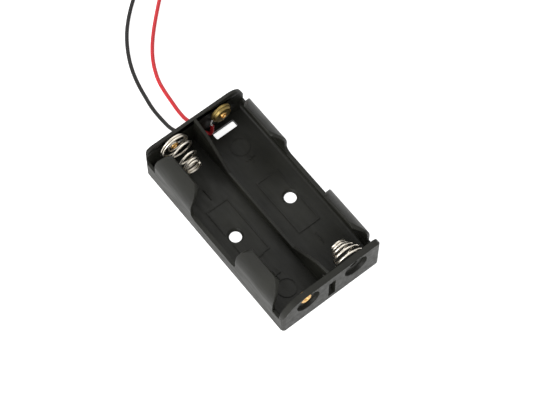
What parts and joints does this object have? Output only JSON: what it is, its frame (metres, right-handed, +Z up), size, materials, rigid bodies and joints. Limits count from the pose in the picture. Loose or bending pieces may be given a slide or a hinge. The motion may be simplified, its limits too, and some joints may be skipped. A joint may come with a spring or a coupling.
{
  "type": "cylindrical cell holder",
  "caption": "Open moulded tray for two side-by-side cylindrical cells in series, with spring and riveted contacts, retaining lips and a pair of wire leads.",
  "frame": {"origin": "centre of the tray's base, on the surface that it stands on", "axes": "+X across the two bays, +Y along the cells, towards the end where the leads come out, +Z up, out of the open tray"},
  "size_m": [0.0558, 0.1214, 0.0155],
  "materials": {
    "tray_plastic": "satin moulded plastic",
    "contact_brass": "stamped sheet",
    "eyelet_brass": "rolled eyelet",
    "spring_wire": "nickel plated wire",
    "red_insulation": "smooth insulation",
    "black_insulation": "smooth insulation",
    "tinned_copper": "tinned"
  },
  "bodies": {
    "root": {"tray": "tray_plastic", "positive_contact": "contact_brass", "positive_eyelet": "eyelet_brass", "wired_spring": "spring_wire", "spring_eyelet": "eyelet_brass", "linked_spring": "spring_wire", "link_eyelet": "eyelet_brass", "red_wire_end": "red_insulation", "red_conductor": "tinned_copper", "black_wire_end": "black_insulation", "black_conductor": "tinned_copper", "red_lead": "red_insulation", "red_coil": "red_insulation", "red_tip": "tinned_copper", "black_lead": "black_insulation", "black_coil": "black_insulation", "black_tip": "tinned_copper"}
  },
  "joints": []
}
